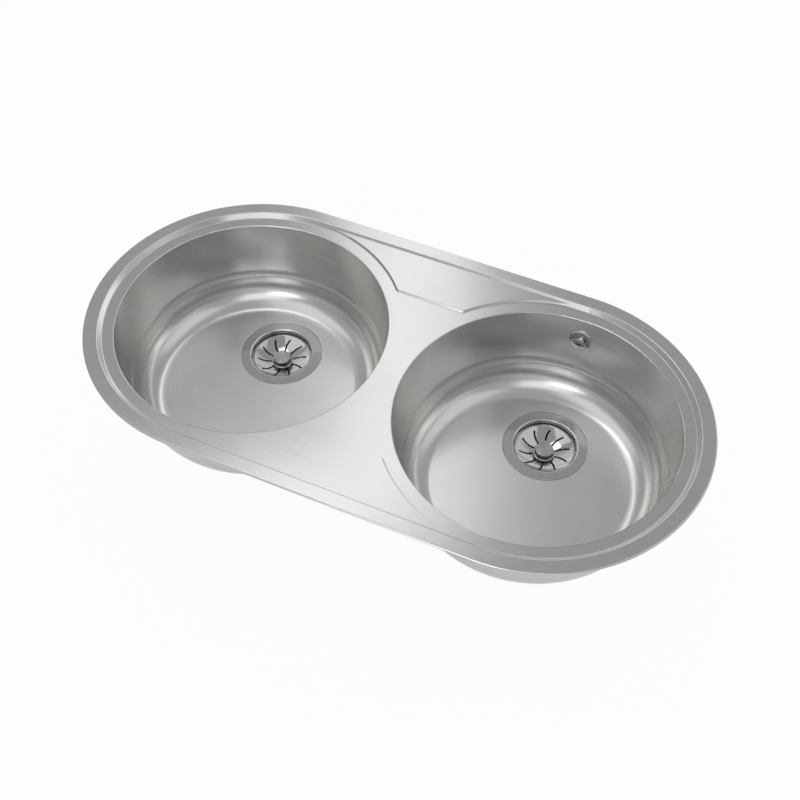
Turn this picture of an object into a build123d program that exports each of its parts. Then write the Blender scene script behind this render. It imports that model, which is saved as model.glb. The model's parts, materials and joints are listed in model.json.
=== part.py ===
from build123d import *
from math import asin, atan2, cos, degrees, radians, sin, sqrt, tan
import os

os.makedirs("parts", exist_ok=True)

# Double bowl sink for a cut-out in a worktop. Millimetres. x runs along the sink, -y is its
# front, and z = 0 is the worktop that the turned-down lip rests on.

# deck
sheet = 0.8
sink_width = 440.0
bridge_width = 39.2  # between the bowls' mouths
rim_height = 2.5  # border above the worktop
rim_round = 2.0
border_width = 18.5
border_slope = 5.5
ring_drop = 6.0  # from the border down to the rings and the bridge
ring_land = 15.6  # from the foot of the border's slope to the mouths
border_round = 1.5
foot_round = 1.2  # at the foot of the border's and the panels' slopes
panel_drop = 3.0  # from the border down to the front and back panels
panel_slope = 1.2
panel_round = 0.5
panel_corner = 4.0
panel_depth = 71.7  # from the border's inner line to a panel's straight edge
ring_width = 19.8  # from the mouths to the panels' arcs
mouth_round = 1.2
collar_height = 2.0  # straight part of the deck below the mouth's rounding

# bowls
bowl_depth = 138.0
wall_draft = 5.3
lower_draft = 8.0
step_rise = 47.5  # foot of the upper wall above the floor
step_height = 7.0
step_inset = 3.3
step_radius = 26.0
lower_radius = 6.0
corner_radius = 36.5
drain_inset = 116.4  # drain's centre to the mouth behind it

# basket wastes
flange_radius = 57.0
flange_sheet = 1.0
flange_round = 0.4
flange_gap = 0.5  # between the flange and its recess
recess_round = 0.6
cup_radius = 42.4
cup_round = 2.5
cup_depth = 38.0
cup_foot_radius = 36.0
cup_foot_round = 6.0
cup_hole_gap = 1.2  # between the cup and the bowl's hole
seat_radius = 38.6
seat_round = 0.5
seat_clearance = 0.3
cup_slot_count = 4
cup_slot_radius = 19.0
cup_slot_width = 9.0
cup_slot_turn = 52.0
flange_seal_height = 1.2
flange_seal_inset = 1.0
waste_seal_height = 3.0
seal_land = 7.0  # radial width of the seal under the bowl

# baskets
dish_sheet = 0.8
dish_sphere_radius = 88.0
dish_depth = 17.6  # dish's lowest point below the flange
dish_radius = 39.2
dish_lip_radius = 1.2
bead_radius = 13.5
bead_thickness = 1.1
slot_count = 10
slot_width = 2.6
slot_inner_radius = 16.2
slot_outer_radius = 33.7
slot_angle = 31.0
slot_sweep = -5.3
sleeve_length = 1.5
sleeve_radius = 6.0
knob_radius = 12.0
knob_height = 3.0
knob_rise = 9.2  # knob's top above the dish's lowest point
knob_round = 1.0
hub_radius = 5.5
hub_length = 2.8
stem_radius = 3.0
stem_clearance = 0.08  # sliding fit
stem_head_radius = 5.0
stem_head_height = 1.5
stem_head_round = 0.5
stopper_radius = 27.0
stopper_edge = 3.0
stopper_web = 3.0
stopper_pocket_gap = 1.5  # round the clamp screw's head
stopper_round = 1.0

# waste bodies
body_wall = 3.0
body_bore_step = 0.3  # bore outside the bowl's hole
body_flange_height = 4.0
body_barrel_height = 34.0
body_cone_height = 12.0
outlet_radius = 23.9  # G 1 1/2 thread over its crests
outlet_bore = 18.5
outlet_length = 18.0
boss_radius = 8.0
boss_length = 14.0
boss_roof = 2.0
arm_width = 3.0
arm_height = 8.0
arm_overlap = 0.5  # into the outlet's wall
insert_radius = 5.5
insert_length = 10.0
insert_spare = 1.0  # insert below the screw's tip
clamp_radius = 3.0
clamp_head_radius = 7.5
clamp_head_height = 3.0
clamp_head_round = 1.0
driver_slot = 1.4
fit_clearance = 0.05  # tight fit

# overflow
overflow_drop = 36.5  # grille's centre below the worktop
grille_radius = 16.0
grille_land_radius = 13.8
grille_window_radius = 12.2
grille_hub_radius = 5.0
grille_plate = 1.0
grille_crown = 1.6
grille_skirt = 3.0
grille_clearance = 0.2  # skirt in its hole
grille_bevel = 0.3  # half the width of the slope up to the crown
grille_round = 0.5
spoke_count = 3
spoke_width = 3.0
spoke_height = 1.2
spoke_overlap = 0.5  # into the hub and the ring
spoke_angle = 45.0
grille_screw_radius = 2.0
grille_screw_head = 3.4
grille_screw_crown = 1.4
grille_screw_round = 0.9
grille_screw_slot = 0.9
grille_screw_slot_depth = 0.8
grille_screw_length = 15.0
overflow_seal_height = 2.4
elbow_radius = 17.5
elbow_wall = 3.0
elbow_depth = 17.3
post_gap = 1.0  # screw post to the gasket
spigot_radius = 8.5
spigot_bore = 6.5
spigot_offset = 13.0  # elbow's outlet behind the wall
spigot_length = 23.0
hose_bore_gap = 0.1
hose_cuff_wall = 1.6
hose_cuff_length = 22.0
rib_valley_radius = 9.6
rib_crest_radius = 11.0
rib_pitch = 4.0
rib_foot = 0.15  # shares of a pitch where a rib starts to rise and is full
rib_full = 0.35
hose_bend_radius = 46.0
port_drop = 14.5  # side port below the right waste body's flange
port_boss = 2.0  # boss round the port, beyond the body
port_reach = 24.0  # port's spigot beyond the body
nut_radius = 13.0
nut_length = 13.0
nut_inset = 1.0  # hose's end inside its nut
nut_gap = 2.0  # nut to the elbow
nut_rim = 2.0  # round rim beside the fitting
nut_clearance = 0.1
nut_grip_count = 12
nut_grip_radius = 1.2

# underside
pad_length = 150.0
pad_width = 90.0
pad_height = 2.0
pad_round = 15.0
pad_gap = 15.0  # pad's back edge to the drain's recess
seal_inset = 3.0
seal_width = 6.0
clip_inset = 29.5  # screw to the sink's edge
clip_end_angle = 25.0
clip_offset = 90.0  # panels' clips to the bowls' centres
bracket_sheet = 1.2
bracket_width = 16.0
bracket_depth = 10.0
bracket_height = 9.0
clip_screw_radius = 2.0
clip_head_radius = 4.0
clip_head_height = 2.0
clip_head_slot = 1.0
clip_screw_end = 3.0  # screw's tip below the deck
clip_drop = 28.5  # clip's top below the deck
clip_sheet = 1.5
clip_length = 34.0
clip_width = 12.0
clip_tooth = 1.5
clip_clearance = 0.2

# heights and radii that follow
end_radius = sink_width / 2
border_inner = end_radius - border_width
ring_outer = border_inner - border_slope
mouth_radius = ring_outer - ring_land
bowl_x = mouth_radius + bridge_width / 2
drain_offset = mouth_radius - drain_inset
rim_z = rim_height
ring_z = rim_z - ring_drop
panel_z = rim_z - panel_drop
mouth_z = ring_z - mouth_round
collar_z = mouth_z - collar_height
floor_z = rim_z - bowl_depth
panel_arc = mouth_radius + ring_width
panel_edge = border_inner - panel_depth
clip_reach = end_radius - clip_inset
overcut = 1.0


def wall_radius(z):
    return mouth_radius - (mouth_z - z) * tan(radians(wall_draft))


def save(piece, name):
    piece.part.label = name
    export_step(piece.part, f"parts/{name}.step")


def upright(x, y, z):
    # plane through an upright axis: local x is the radius, local y the height
    return Plane(origin=(x, y, z), x_dir=(1, 0, 0), z_dir=(0, -1, 0))


def turn(plane, *corners, mode=Mode.ADD):
    # turned shape about the plane's local y axis; a corner is radius, height, rounding
    with BuildSketch(plane) as section:
        with BuildLine():
            points = [corner[:2] for corner in corners]
            FilletPolyline(*points, radius=[corner[2] for corner in corners], close=True)
        make_face()
    revolve(section.sketch, axis=Axis(plane.origin, plane.y_dir), mode=mode)


def disc(plane, radius, height, bore=0.0, mode=Mode.ADD):
    with BuildSketch(plane) as ring:
        Circle(radius)
        if bore:
            Circle(bore, mode=Mode.SUBTRACT)
    extrude(ring.sketch, amount=height, mode=mode)


def level(x, y, z):
    return Plane(origin=(x, y, z))


# ---- deck

slope_lean = tan(atan2(ring_drop, border_slope) / 2)
panel_lean = tan(atan2(ring_drop - panel_drop, panel_slope) / 2)


def panel_outline(z, radius, edge):
    # back panel: straight edge, arcs round both bowls, and a far side inside the border
    corner_x = bowl_x - sqrt(radius**2 - edge**2)
    corner_angle = degrees(atan2(edge, corner_x - bowl_x))
    with BuildSketch(Plane.XY.offset(z)) as outline:
        with BuildLine():
            Line((0, edge), (corner_x, edge))
            CenterArc((bowl_x, 0), radius, corner_angle, 90 - corner_angle)
            Line((bowl_x, radius), (bowl_x, border_inner + border_slope))
            Line((bowl_x, border_inner + border_slope), (0, border_inner + border_slope))
            mirror(about=Plane.YZ)
        make_face()
    return outline.sketch


def stadium(z, radius):
    with BuildSketch(Plane.XY.offset(z)) as outline:
        SlotCenterToCenter(2 * bowl_x, 2 * radius)
    return outline.sketch


def panel_block(drop):
    # both panels, lowered by drop
    lean = drop * panel_lean
    foot = panel_outline(ring_z - drop, panel_arc - panel_slope + lean, panel_edge - panel_slope + lean)
    top = panel_outline(panel_z - drop, panel_arc + lean, panel_edge + lean)
    with BuildPart() as block:
        loft([foot, top], ruled=True)
        fillet(edges().group_by(Axis.Z)[1].sort_by(Axis.Y)[:2], panel_corner - drop)
        if panel_round > drop:
            fillet(faces().sort_by(Axis.Z)[-1].edges(), panel_round - drop)
        mirror(about=Plane.XZ)
    return block.part


def press(drop, below, panels):
    # everything under the deck's upper face, lowered by drop and open below
    core_radius = border_inner + border_slope + below
    extrude(stadium(-below, end_radius - drop), amount=rim_z - drop + below)
    fillet(edges().group_by(Axis.Z)[-1], rim_round - drop)
    extrude(stadium(collar_z - below, core_radius), amount=-collar_z + below)
    lean = drop * slope_lean
    slope_top = stadium(rim_z - drop, border_inner + lean)
    slope_foot = stadium(ring_z - drop, ring_outer + lean)
    loft([slope_foot, slope_top], ruled=True, mode=Mode.SUBTRACT)
    add(panels)
    side = drop / cos(radians(wall_draft))
    for x in (-bowl_x, bowl_x):
        turn(
            upright(x, 0, 0),
            (0, rim_z, 0),
            (mouth_radius + 1.5 * mouth_round, rim_z, 0),
            (mouth_radius + 1.5 * mouth_round, ring_z - drop, 0),
            (wall_radius(ring_z - drop) + side, ring_z - drop, mouth_round - drop),
            (wall_radius(collar_z - 2 * overcut) + side, collar_z - 2 * overcut, 0),
            (0, collar_z - 2 * overcut, 0),
            mode=Mode.SUBTRACT,
        )


upper_panels = panel_block(0)
lower_panels = panel_block(sheet)

with BuildPart() as deck_inside:
    press(sheet, overcut, lower_panels)

with BuildPart() as deck:
    press(0, 0, upper_panels)
    border_face = faces().filter_by(GeomType.PLANE).group_by(Axis.Z)[-1].sort_by(SortBy.AREA)[-1]
    fillet(border_face.inner_wires()[0].edges(), border_round)
    ring_faces = faces().filter_by_position(Axis.Z, ring_z - fit_clearance, ring_z + fit_clearance)
    fillet(ring_faces.sort_by(SortBy.AREA)[-1].outer_wire().edges(), foot_round)
    add(deck_inside.part, mode=Mode.SUBTRACT)
save(deck, "deck")

with BuildPart() as rim_seal:
    extrude(stadium(0, end_radius - seal_inset), amount=rim_z - sheet)
    extrude(stadium(0, end_radius - seal_inset - seal_width), amount=rim_z - sheet, mode=Mode.SUBTRACT)
save(rim_seal, "rim_seal")

# ---- bowls

step_z = floor_z + step_rise
step_foot_z = step_z - step_height
heel_radius = wall_radius(step_z) - step_inset - (step_foot_z - floor_z) * tan(radians(lower_draft))
recess_radius = flange_radius + flange_gap
recess_depth = flange_sheet + flange_seal_height
bowl_hole = cup_radius + flange_sheet + cup_hole_gap
recess_under = recess_depth + sheet  # recess's underside below the floor

# the overflow's axis is square to the right bowl's back wall and leaves the bowl there
overflow_y = wall_radius(-overflow_drop)
overflow_lean = radians(wall_draft)
overflow_plane = Plane(
    origin=(bowl_x, overflow_y, -overflow_drop),
    x_dir=(1, 0, 0),
    z_dir=(0, sin(overflow_lean), cos(overflow_lean)),
)
overflow_face = Plane(origin=overflow_plane.origin, x_dir=(1, 0, 0), z_dir=overflow_plane.y_dir)
overflow_hole = grille_window_radius + grille_plate


def bowl_wall():
    return FilletPolyline(
        (wall_radius(collar_z), collar_z),
        (wall_radius(step_z), step_z),
        (heel_radius + (step_foot_z - floor_z) * tan(radians(lower_draft)), step_foot_z),
        (heel_radius, floor_z),
        (0, floor_z),
        radius=(step_radius, lower_radius, corner_radius),
    )


for side, x in (("left", -bowl_x), ("right", bowl_x)):
    with BuildPart() as bowl:
        with BuildSketch(upright(x, 0, 0)):
            with BuildLine() as wall_line:
                bowl_wall()
                offset(amount=sheet, side=Side.LEFT)
            make_face()
        revolve(axis=Axis((x, 0, 0), (0, 0, 1)))
        disc(level(x, drain_offset, floor_z - sheet), recess_radius + sheet, -recess_depth)
        disc(level(x, drain_offset, floor_z), recess_radius, -recess_depth, mode=Mode.SUBTRACT)
        floor_rings = edges().filter_by(GeomType.CIRCLE).filter_by_position(
            Axis.Z, floor_z - fit_clearance, floor_z + fit_clearance
        )
        fillet(floor_rings.sort_by(SortBy.RADIUS)[0], recess_round)
        disc(level(x, drain_offset, floor_z), bowl_hole, -2 * recess_under, mode=Mode.SUBTRACT)
        if side == "right":
            disc(overflow_face.offset(-elbow_wall), overflow_hole, 2 * elbow_wall, mode=Mode.SUBTRACT)
    save(bowl, f"{side}_bowl")

    with BuildPart() as sound_pad:
        pad_y = drain_offset - recess_radius - pad_gap - pad_width / 2
        with BuildSketch(level(x, pad_y, floor_z - sheet)):
            RectangleRounded(pad_length, pad_width, pad_round)
        extrude(amount=-pad_height)
    save(sound_pad, f"{side}_sound_pad")

# ---- basket wastes, measured down from the bowl floor

# the dish's lip is a quarter turn that ends upright; its underside rests on the cup's seat
dish_slope = asin(dish_radius / dish_sphere_radius)
lip_centre_r = dish_radius - dish_lip_radius * sin(dish_slope)
lip_centre_z = dish_sphere_radius * (1 - cos(dish_slope)) + dish_lip_radius * cos(dish_slope) - dish_depth
lip_under = dish_lip_radius + dish_sheet
seat_z = lip_centre_z - sqrt(lip_under**2 - (seat_radius - lip_centre_r) ** 2) - seat_clearance
body_bore = bowl_hole + body_bore_step
body_top = -(recess_under + waste_seal_height)
barrel_z = body_top - body_barrel_height
cone_z = barrel_z - body_cone_height
outlet_z = cone_z - outlet_length
boss_z = cone_z - arm_height
insert_z = boss_z + boss_length - boss_roof
plate_z = -cup_depth
stem_head_z = plate_z + clamp_head_height + seat_clearance
web_z = stem_head_z + stem_head_height
knob_top = knob_rise - dish_depth
port_z = body_top - body_flange_height - port_drop


def polar(radius, angle):
    return (radius * cos(radians(angle)), radius * sin(radians(angle)))


kidney_line = CenterArc((0, 0), cup_slot_radius, -cup_slot_turn / 2, cup_slot_turn)
slot_line = ThreePointArc(
    polar(slot_inner_radius, slot_angle),
    polar((slot_inner_radius + slot_outer_radius) / 2, slot_angle),
    polar(slot_outer_radius, slot_angle + slot_sweep),
)

for side, x in (("left", -bowl_x), ("right", bowl_x)):
    axis_plane = upright(x, drain_offset, floor_z)

    with BuildPart() as strainer_flange:
        turn(
            axis_plane,
            (flange_radius, 0, flange_round),
            (cup_radius, 0, cup_round),
            (cup_radius, seat_z, seat_round),
            (seat_radius, seat_z, seat_round),
            (cup_foot_radius, plate_z, cup_foot_round),
            (clamp_radius + stem_clearance, plate_z, 0),
            (clamp_radius + stem_clearance, plate_z - flange_sheet, 0),
            (cup_foot_radius + flange_sheet, plate_z - flange_sheet, cup_foot_round + flange_sheet),
            (seat_radius + flange_sheet, seat_z - flange_sheet, seat_round),
            (cup_radius + flange_sheet, seat_z - flange_sheet, seat_round),
            (cup_radius + flange_sheet, -flange_sheet, cup_round - flange_sheet),
            (flange_radius, -flange_sheet, 0),
        )
        with BuildSketch(level(x, drain_offset, floor_z + plate_z + overcut)):
            with PolarLocations(0, cup_slot_count):
                SlotArc(kidney_line, cup_slot_width)
        extrude(amount=-2 * overcut - flange_sheet, mode=Mode.SUBTRACT)
    save(strainer_flange, f"{side}_strainer_flange")

    with BuildPart() as flange_seal:
        seal_plane = level(x, drain_offset, floor_z - recess_depth)
        disc(seal_plane, flange_radius - flange_seal_inset, flange_seal_height, body_bore)
    save(flange_seal, f"{side}_flange_seal")

    with BuildPart() as waste_seal:
        seal_plane = level(x, drain_offset, floor_z + body_top)
        disc(seal_plane, body_bore + seal_land, waste_seal_height, body_bore)
    save(waste_seal, f"{side}_waste_seal")

    with BuildPart() as waste_body:
        turn(
            axis_plane,
            (body_bore, body_top, 0),
            (body_bore + seal_land, body_top, 0),
            (body_bore + seal_land, body_top - body_flange_height, 0),
            (body_bore + body_wall, body_top - body_flange_height, 0),
            (body_bore + body_wall, barrel_z, 0),
            (outlet_radius, cone_z, 0),
            (outlet_radius, outlet_z, 0),
            (outlet_bore, outlet_z, 0),
            (outlet_bore, cone_z + body_wall, 0),
            (body_bore, barrel_z + body_wall, 0),
        )
        arm_plane = level(x, drain_offset, floor_z + boss_z)
        with BuildSketch(arm_plane):
            with PolarLocations(0, 2, angular_range=180):
                Rectangle(2 * (outlet_bore + arm_overlap), arm_width)
        extrude(amount=arm_height)
        disc(arm_plane, boss_radius, boss_length)
        disc(arm_plane, insert_radius + fit_clearance, boss_length - boss_roof, mode=Mode.SUBTRACT)
        disc(arm_plane, clamp_radius + stem_clearance, boss_length, mode=Mode.SUBTRACT)
        if side == "right":
            port_plane = Plane(
                origin=(x, drain_offset + body_bore + body_wall, floor_z + port_z),
                x_dir=(1, 0, 0),
                z_dir=(0, 1, 0),
            )
            wall_plane = port_plane.offset(overcut - body_wall)
            disc(wall_plane, rib_crest_radius, body_wall - overcut + port_boss)
            disc(wall_plane, spigot_radius, body_wall - overcut + port_reach)
            bore_plane = port_plane.offset(-2 * body_wall)
            disc(bore_plane, spigot_bore, 2 * body_wall + port_reach, mode=Mode.SUBTRACT)
    save(waste_body, f"{side}_waste_body")

    with BuildPart() as clamp_insert:
        insert_plane = level(x, drain_offset, floor_z + insert_z)
        disc(insert_plane, insert_radius, -insert_length, clamp_radius + fit_clearance)
    save(clamp_insert, f"{side}_clamp_insert")

    with BuildPart() as clamp_screw:
        turn(
            axis_plane,
            (0, insert_z - insert_length + insert_spare, 0),
            (clamp_radius, insert_z - insert_length + insert_spare, 0),
            (clamp_radius, plate_z, 0),
            (clamp_head_radius, plate_z, 0),
            (clamp_head_radius, plate_z + clamp_head_height, clamp_head_round),
            (0, plate_z + clamp_head_height, 0),
        )
        with BuildSketch(level(x, drain_offset, floor_z + plate_z + clamp_head_height)):
            Rectangle(2 * clamp_head_radius, driver_slot)
        extrude(amount=-driver_slot, mode=Mode.SUBTRACT)
    save(clamp_screw, f"{side}_clamp_screw")

    with BuildPart() as basket:
        bore = stem_radius + stem_clearance
        dish_centre = dish_sphere_radius - dish_depth
        with BuildSketch(axis_plane):
            with BuildLine():
                centre_angle = degrees(asin(bore / dish_sphere_radius))
                sphere_turn = degrees(dish_slope) - centre_angle
                dish = CenterArc((0, dish_centre), dish_sphere_radius, centre_angle - 90, sphere_turn)
                JernArc(dish @ 1, dish % 1, dish_lip_radius, 90 - degrees(dish_slope))
                offset(amount=-dish_sheet, side=Side.RIGHT)
            make_face()
            with Locations((bead_radius, dish_centre - sqrt(dish_sphere_radius**2 - bead_radius**2))):
                Circle(bead_thickness)
        revolve(axis=Axis(axis_plane.origin, axis_plane.y_dir))
        sleeve_plane = level(x, drain_offset, floor_z - dish_depth - dish_sheet / 2)
        disc(sleeve_plane, sleeve_radius, -dish_sheet / 2 - sleeve_length, bore)
        with BuildSketch(level(x, drain_offset, floor_z)):
            with PolarLocations(0, slot_count):
                SlotArc(slot_line, slot_width)
        extrude(amount=-dish_depth - dish_sheet - overcut, mode=Mode.SUBTRACT)
    save(basket, f"{side}_basket")

    with BuildPart() as basket_knob:
        turn(
            axis_plane,
            (0, knob_top, 0),
            (knob_radius, knob_top, knob_round),
            (knob_radius, knob_top - knob_height, knob_round),
            (hub_radius, knob_top - knob_height, knob_round),
            (hub_radius, knob_top - knob_height - hub_length, 0),
            (stem_radius + fit_clearance, knob_top - knob_height - hub_length, 0),
            (stem_radius + fit_clearance, knob_top - knob_height, 0),
            (0, knob_top - knob_height, 0),
        )
    save(basket_knob, f"{side}_basket_knob")

    with BuildPart() as basket_stem:
        turn(
            axis_plane,
            (0, knob_top - knob_height, 0),
            (stem_radius, knob_top - knob_height, 0),
            (stem_radius, web_z, 0),
            (stem_head_radius, web_z, 0),
            (stem_head_radius, stem_head_z, stem_head_round),
            (0, stem_head_z, 0),
        )
    save(basket_stem, f"{side}_basket_stem")

    with BuildPart() as stopper:
        pocket = clamp_head_radius + stopper_pocket_gap
        turn(
            axis_plane,
            (pocket, plate_z + seat_clearance, 0),
            (stopper_radius, plate_z + seat_clearance, stopper_round),
            (stopper_radius, plate_z + seat_clearance + stopper_edge, stopper_round),
            (pocket + stopper_web, web_z + stopper_web, stopper_round),
            (stem_radius + fit_clearance, web_z + stopper_web, 0),
            (stem_radius + fit_clearance, web_z, 0),
            (pocket, web_z, 0),
        )
    save(stopper, f"{side}_stopper")

# ---- overflow, measured outwards from the right bowl's inner face

# the flat grille rests on the hollow wall where its rim touches first
grille_back = sqrt(overflow_y**2 - grille_radius**2) - overflow_y - fit_clearance
grille_front = grille_back - grille_plate
crown_front = grille_back - grille_crown
elbow_front = sheet + overflow_seal_height
elbow_back = elbow_front + elbow_depth
spigot_y = overflow_y + spigot_offset
spigot_top = -overflow_drop
spigot_end = -overflow_drop - elbow_radius - spigot_length
hose_x = bowl_x
hose_top = -overflow_drop - elbow_radius - nut_gap - nut_inset
hose_z = floor_z + port_z
hose_end_y = drain_offset + body_bore + body_wall + port_boss + nut_inset

with BuildPart() as overflow_grille:
    turn(
        overflow_plane,
        (grille_window_radius, grille_skirt, 0),
        (overflow_hole - grille_clearance, grille_skirt, 0),
        (overflow_hole - grille_clearance, grille_back, 0),
        (grille_radius, grille_back, 0),
        (grille_radius, grille_front, grille_round),
        (grille_land_radius + grille_bevel, grille_front, 0),
        (grille_land_radius, grille_back - grille_plate / 2, 0),
        (grille_land_radius - grille_bevel, crown_front, grille_bevel),
        (grille_window_radius, crown_front, grille_bevel),
    )
    disc(overflow_face.offset(grille_back), grille_hub_radius, -grille_crown)
    with BuildSketch(overflow_face.offset(grille_back)):
        with PolarLocations((grille_hub_radius + grille_window_radius) / 2, spoke_count, spoke_angle):
            Rectangle(grille_window_radius - grille_hub_radius + 2 * spoke_overlap, spoke_width)
    extrude(amount=-spoke_height)
    screw_bore = grille_screw_radius + fit_clearance
    disc(overflow_face.offset(grille_back), screw_bore, -grille_crown, mode=Mode.SUBTRACT)
save(overflow_grille, "overflow_grille")

with BuildPart() as grille_screw:
    turn(
        overflow_plane,
        (0, grille_screw_length, 0),
        (grille_screw_radius, grille_screw_length, 0),
        (grille_screw_radius, crown_front, 0),
        (grille_screw_head, crown_front, 0),
        (grille_screw_head, crown_front - grille_screw_crown, grille_screw_round),
        (0, crown_front - grille_screw_crown, 0),
    )
    with BuildSketch(overflow_face.offset(crown_front - grille_screw_crown)):
        Rectangle(3 * grille_screw_head, grille_screw_slot, rotation=spoke_angle / 2)
    extrude(amount=grille_screw_slot_depth, mode=Mode.SUBTRACT)
save(grille_screw, "grille_screw")

with BuildPart() as overflow_seal:
    disc(overflow_face.offset(-elbow_wall), elbow_radius, elbow_front + elbow_wall, overflow_hole)
    turn(
        upright(bowl_x, 0, 0),
        (0, collar_z, 0),
        (wall_radius(collar_z) + sheet / cos(overflow_lean), collar_z, 0),
        (wall_radius(step_z) + sheet / cos(overflow_lean), step_z, 0),
        (0, step_z, 0),
        mode=Mode.SUBTRACT,
    )
save(overflow_seal, "overflow_seal")

with BuildPart() as overflow_elbow:
    disc(overflow_face.offset(elbow_front), elbow_radius, elbow_depth)
    disc(level(bowl_x, spigot_y, spigot_top), spigot_radius, spigot_end - spigot_top)
    chamber_radius = elbow_radius - elbow_wall
    disc(overflow_face.offset(elbow_front), chamber_radius, elbow_depth - elbow_wall, mode=Mode.SUBTRACT)
    disc(level(bowl_x, spigot_y, spigot_top), spigot_bore, spigot_end - spigot_top, mode=Mode.SUBTRACT)
    disc(overflow_face.offset(elbow_back), 2 * grille_screw_radius, post_gap - elbow_depth)
    disc(overflow_face.offset(elbow_front), screw_bore, elbow_depth - elbow_wall, mode=Mode.SUBTRACT)
save(overflow_elbow, "overflow_elbow")

hose_bore = spigot_radius + hose_bore_gap
cuff_radius = hose_bore + hose_cuff_wall


def hose_route():
    return FilletPolyline(
        (hose_x, spigot_y, hose_top),
        (hose_x, spigot_y, hose_z),
        (hose_x, hose_end_y, hose_z),
        radius=hose_bend_radius,
    )


with BuildPart() as overflow_hose:
    with BuildLine() as route:
        hose_route()
    path = route.wire()
    rib_count = int((path.length - 2 * hose_cuff_length) / rib_pitch)
    rib_start = (path.length - rib_count * rib_pitch) / 2
    stations = [(0, cuff_radius), (rib_start, cuff_radius)]
    for rib in range(rib_count):
        foot = rib_start + rib * rib_pitch
        stations += [
            (foot + rib_foot * rib_pitch, rib_valley_radius),
            (foot + rib_full * rib_pitch, rib_crest_radius),
            (foot + (1 - rib_full) * rib_pitch, rib_crest_radius),
            (foot + (1 - rib_foot) * rib_pitch, rib_valley_radius),
        ]
    stations += [(path.length - rib_start, cuff_radius), (path.length, cuff_radius)]
    for run, radius in stations:
        share = run / path.length
        with BuildSketch(Plane(origin=path @ share, x_dir=(1, 0, 0), z_dir=path % share)):
            Circle(radius)
    loft(ruled=True)
    with BuildSketch(Plane(origin=path @ 0, x_dir=(1, 0, 0), z_dir=path % 0)):
        Circle(hose_bore)
    sweep(path=path, mode=Mode.SUBTRACT)
save(overflow_hose, "overflow_hose")


def ring_nut(plane):
    # grips run along the nut; the rim beside the fitting stays round
    inner = cuff_radius + nut_clearance
    disc(plane, nut_radius, nut_length, inner)
    with BuildSketch(plane.offset(nut_rim)) as grips:
        with PolarLocations(nut_radius + nut_grip_radius / 2, nut_grip_count):
            Circle(nut_grip_radius)
    extrude(grips.sketch, amount=nut_length, mode=Mode.SUBTRACT)


with BuildPart() as upper_hose_nut:
    ring_nut(Plane(origin=(hose_x, spigot_y, hose_top - nut_inset), x_dir=(1, 0, 0), z_dir=(0, 0, -1)))
save(upper_hose_nut, "upper_hose_nut")

with BuildPart() as lower_hose_nut:
    ring_nut(Plane(origin=(hose_x, hose_end_y + nut_inset, hose_z), x_dir=(1, 0, 0), z_dir=(0, 1, 0)))
save(lower_hose_nut, "lower_hose_nut")

# ---- clips; each stands on its own plane with local x pointing out of the sink

clip_places = {}
for name, sign in (("front", -1), ("back", 1)):
    for side, x in (("left", clip_offset - bowl_x), ("right", bowl_x - clip_offset)):
        clip_places[f"{name}_{side}"] = (x, sign * clip_reach, panel_z - sheet, sign * 90)
for side, x, heading in (("left", -bowl_x, 180), ("right", bowl_x, 0)):
    for name, sign in (("front", -1), ("back", 1)):
        angle = heading + sign * clip_end_angle * (1 if side == "right" else -1)
        clip_x = x + clip_reach * cos(radians(angle))
        clip_y = clip_reach * sin(radians(angle))
        clip_places[f"{side}_end_{name}"] = (clip_x, clip_y, ring_z - sheet, angle)


def clip_plane(place, drop):
    x, y, z, angle = place
    return Plane(
        origin=(x, y, z - drop),
        x_dir=(cos(radians(angle)), sin(radians(angle)), 0),
        z_dir=(0, 0, 1),
    )


with BuildPart() as clip_brackets:
    for place in clip_places.values():
        base = clip_plane(place, 0)
        with BuildSketch(Plane(origin=base.origin, x_dir=base.y_dir, z_dir=base.x_dir)):
            with Locations((0, -bracket_height / 2)):
                Rectangle(bracket_width, bracket_height)
                Rectangle(bracket_width - 2 * bracket_sheet, bracket_height - 2 * bracket_sheet,
                          mode=Mode.SUBTRACT)
        extrude(amount=bracket_depth / 2, both=True)
        screw_bore = clip_screw_radius + fit_clearance
        disc(clip_plane(place, bracket_height), screw_bore, bracket_height / 2, mode=Mode.SUBTRACT)
save(clip_brackets, "clip_brackets")

with BuildPart() as clip_screws:
    head_drop = clip_drop + clip_sheet + clip_clearance
    for place in clip_places.values():
        disc(clip_plane(place, head_drop), clip_screw_radius, head_drop - clip_screw_end)
        disc(clip_plane(place, head_drop), clip_head_radius, -clip_head_height)
        with BuildSketch(clip_plane(place, head_drop + clip_head_height)):
            Rectangle(3 * clip_head_radius, clip_head_slot)
        extrude(amount=clip_head_slot, mode=Mode.SUBTRACT)
save(clip_screws, "clip_screws")

for name, place in clip_places.items():
    with BuildPart() as clip:
        with BuildSketch(clip_plane(place, clip_drop + clip_sheet)):
            with Locations((0, clip_length / 2)):
                SlotCenterToCenter(clip_length, clip_width, rotation=90)
            with Locations((0, clip_length + clip_width / 2)):
                Rectangle(clip_width, clip_width, mode=Mode.SUBTRACT)
            Circle(clip_screw_radius + 2 * fit_clearance, mode=Mode.SUBTRACT)
        extrude(amount=clip_sheet)
        with BuildSketch(clip_plane(place, clip_drop)):
            with Locations((0, clip_length - clip_sheet / 2)):
                Rectangle(clip_width, clip_sheet)
        extrude(amount=clip_tooth)
    save(clip, f"clip_{name}")
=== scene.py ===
import json
import math

import bmesh
import bpy
from mathutils import Matrix, Vector


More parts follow.
